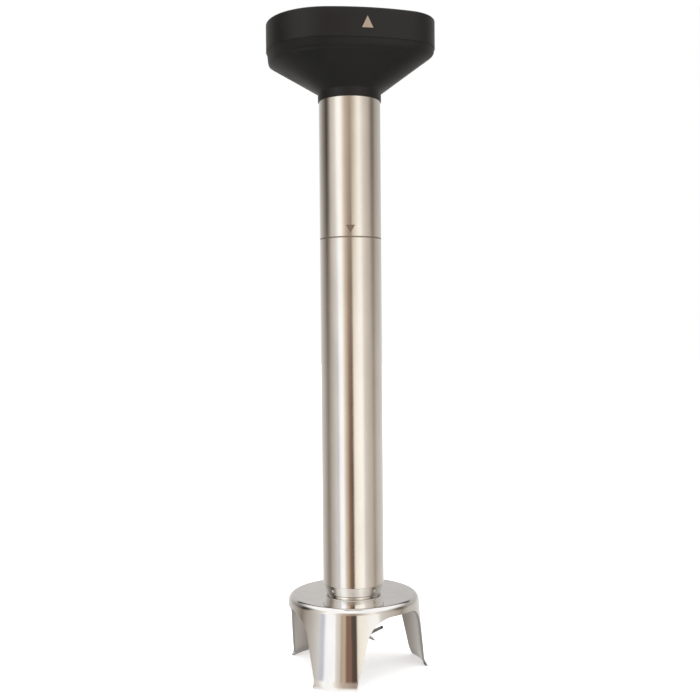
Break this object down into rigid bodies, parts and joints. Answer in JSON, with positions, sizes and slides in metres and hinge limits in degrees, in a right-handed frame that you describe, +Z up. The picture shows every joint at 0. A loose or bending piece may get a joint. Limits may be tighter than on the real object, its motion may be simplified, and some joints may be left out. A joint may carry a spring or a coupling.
{
  "type": "immersion blender arm",
  "caption": "Blending arm of an immersion blender: black coupling housing, steel tube, legged bell guard and a spinning cross blade on a through shaft.",
  "frame": {"origin": "on the drive shaft's axis, in the plane of the coupling housing's rim, which is the mouth of the spigot that the motor unit slides over", "axes": "+Z up along the drive shaft towards the motor unit, +X towards the nose of the coupling housing, -Y towards the side with the locking triangle"},
  "size_m": [0.1101, 0.0919, 0.421],
  "materials": {
    "housing_plastic": "fine moulded texture, satin black",
    "mark_plastic": "matte beige insert",
    "tube_steel": "lengthwise polished stainless steel",
    "bell_steel": "mirror polished stainless steel",
    "foot_steel": "turned and polished stainless steel",
    "blade_steel": "ground stainless steel, sharp edges",
    "plate_steel": "zinc plated steel plate",
    "screw_steel": "stainless steel screws",
    "bearing_steel": "ground bearing steel",
    "spring_steel": "dark spring steel",
    "seal_rubber": "black nitrile rubber",
    "bush_bronze": "sintered bronze",
    "carrier_plastic": "natural acetal"
  },
  "bodies": {
    "arm": {"coupling_housing": "housing_plastic", "deck_plate": "plate_steel", "deck_screws": "screw_steel", "socket_ring": "housing_plastic", "socket_screws": "screw_steel", "alignment_mark": "mark_plastic", "tube_flange": "plate_steel", "flange_screws": "screw_steel", "arm_tube": "tube_steel", "bearing_carrier": "carrier_plastic", "upper_shaft_seal": "seal_rubber", "bearing_outer_ring": "bearing_steel", "bearing_shields": "plate_steel", "carrier_circlip": "spring_steel", "foot_housing": "foot_steel", "foot_o_ring": "seal_rubber", "lower_bush": "bush_bronze", "lower_shaft_seals": "seal_rubber", "seal_circlip": "spring_steel", "bell_guard": "bell_steel", "bell_nut": "foot_steel"},
    "shaft": {"drive_shaft": "foot_steel", "drive_coupling": "blade_steel", "coupling_pin": "screw_steel", "bearing_inner_ring": "bearing_steel", "shaft_circlip": "spring_steel", "blade_hub": "foot_steel", "upper_blade": "blade_steel", "lower_blade": "blade_steel", "blade_nut": "foot_steel"},
    "ball_cage": {"bearing_balls": "bearing_steel", "bearing_cage": "carrier_plastic"}
  },
  "joints": [
    {"name": "shaft_spin", "type": "hinge", "parent": "arm", "child": "shaft", "pos_m": [0, 0, 0], "axis": [0, 0, 1], "continuous": true},
    {"name": "ball_orbit", "type": "hinge", "parent": "arm", "child": "ball_cage", "pos_m": [0, 0, 0], "axis": [0, 0, 1], "continuous": true}
  ],
  "couplings": [
    {"joint": "ball_orbit", "follows": "shaft_spin", "ratio": 0.3667}
  ]
}
